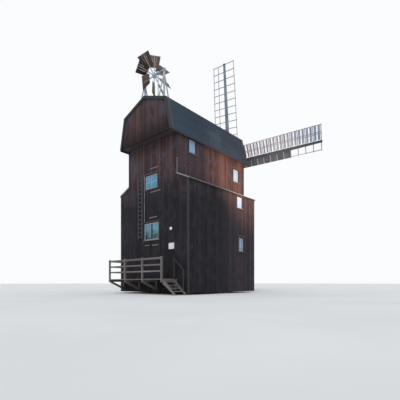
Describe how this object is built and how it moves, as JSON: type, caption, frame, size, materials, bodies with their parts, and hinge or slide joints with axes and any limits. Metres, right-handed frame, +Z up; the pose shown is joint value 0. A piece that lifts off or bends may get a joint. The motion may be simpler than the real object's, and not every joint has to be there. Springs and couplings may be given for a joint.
{
  "type": "traditional timber windmill on a roller ring",
  "caption": "Boarded timber windmill with a gambrel roof, lattice and shuttered sails, a fantail on the roof and a railed landing; the house turns on a roller ring.",
  "frame": {"origin": "on the ground at the underside of the centre pier, on the axis about which the house turns", "axes": "+Z up, +Y towards the sails at the head, +X to the right side seen from the tail"},
  "size_m": [16.8036, 11.3154, 19.4995],
  "materials": {
    "masonry": "rough",
    "iron": "dull",
    "frame_timber": "sawn",
    "floor_timber": "worn",
    "dark_boards": "tarred",
    "brown_boards": "stained",
    "weathering_felt": "felted",
    "roof_felt": "felted",
    "zinc": "dull",
    "window_frame": "painted",
    "window_glass": "clear",
    "door_boards": "tarred",
    "weathered_timber": "weathered",
    "lamp_glass": "opal",
    "white_plate": "matt",
    "light_steel": "painted",
    "fan_boards": "stained",
    "shaft_timber": "tarred",
    "stock_paint": "painted",
    "sail_boards": "painted",
    "sail_lath": "painted",
    "shutter": "painted"
  },
  "bodies": {
    "base": {"foundation": "masonry", "pivot_pin": "iron", "track_rail": "iron"},
    "sails": {"leading_boards": "sail_boards", "sail_frame_1": "sail_lath", "sail_frame_2": "sail_lath", "sail_frame_3": "sail_lath", "sail_frame_4": "sail_lath", "shutters_2": "shutter", "shutters_4": "shutter", "stock_1": "stock_paint", "stock_2": "stock_paint", "wind_shaft": "shaft_timber"},
    "fan": {"fan_blades": "fan_boards", "fan_hub": "light_steel", "fan_spokes": "light_steel"},
    "door": {"door_leaf": "door_boards"},
    "house": {"door_frame": "door_boards", "door_pintles": "iron", "entry_floor": "floor_timber", "fan_drive": "light_steel", "fan_trestle": "light_steel", "head_gable": "brown_boards", "head_wall": "dark_boards", "lamp": "lamp_glass", "landing_brackets": "weathered_timber", "landing_deck": "weathered_timber", "landing_rail_end": "weathered_timber", "landing_rail_long": "weathered_timber", "left_wall_lower": "dark_boards", "left_wall_upper": "brown_boards", "left_weathering": "weathering_felt", "middle_floor": "floor_timber", "ridge_cap": "zinc", "right_wall_lower": "dark_boards", "right_wall_upper": "brown_boards", "right_weathering": "weathering_felt", "roller_curb": "frame_timber", "rollers": "iron", "roof_lower_left": "roof_felt", "roof_lower_right": "roof_felt", "roof_upper_left": "roof_felt", "roof_upper_right": "roof_felt", "shaft_bearings": "frame_timber", "sign_plate": "white_plate", "sill_frame": "frame_timber", "stair_handrail": "weathered_timber", "stair_stringers": "weathered_timber", "stair_treads": "weathered_timber", "tail_gable": "brown_boards", "tail_ladder": "light_steel", "tail_soffit": "dark_boards", "tail_wall_door_bay": "dark_boards", "tail_wall_left": "dark_boards", "tail_wall_right": "dark_boards", "tail_wall_upper": "brown_boards", "upper_floor": "floor_timber", "window_frames": "window_frame", "window_glass": "window_glass"}
  },
  "joints": [
    {"name": "house_turn", "type": "hinge", "parent": "base", "child": "house", "pos_m": [0, 0, 0.3], "axis": [0, 0, 1], "continuous": true},
    {"name": "sail_turn", "type": "hinge", "parent": "house", "child": "sails", "pos_m": [0, 5.05, 11.15], "axis": [0, 0.9925, 0.1219], "continuous": true},
    {"name": "fan_turn", "type": "hinge", "parent": "house", "child": "fan", "pos_m": [0, -3.5, 15], "axis": [1, 0, 0], "continuous": true},
    {"name": "door_swing", "type": "hinge", "parent": "house", "child": "door", "pos_m": [1.4, -3.776, 1.1], "axis": [0, 0, -1], "range_deg": [0, 105]}
  ]
}
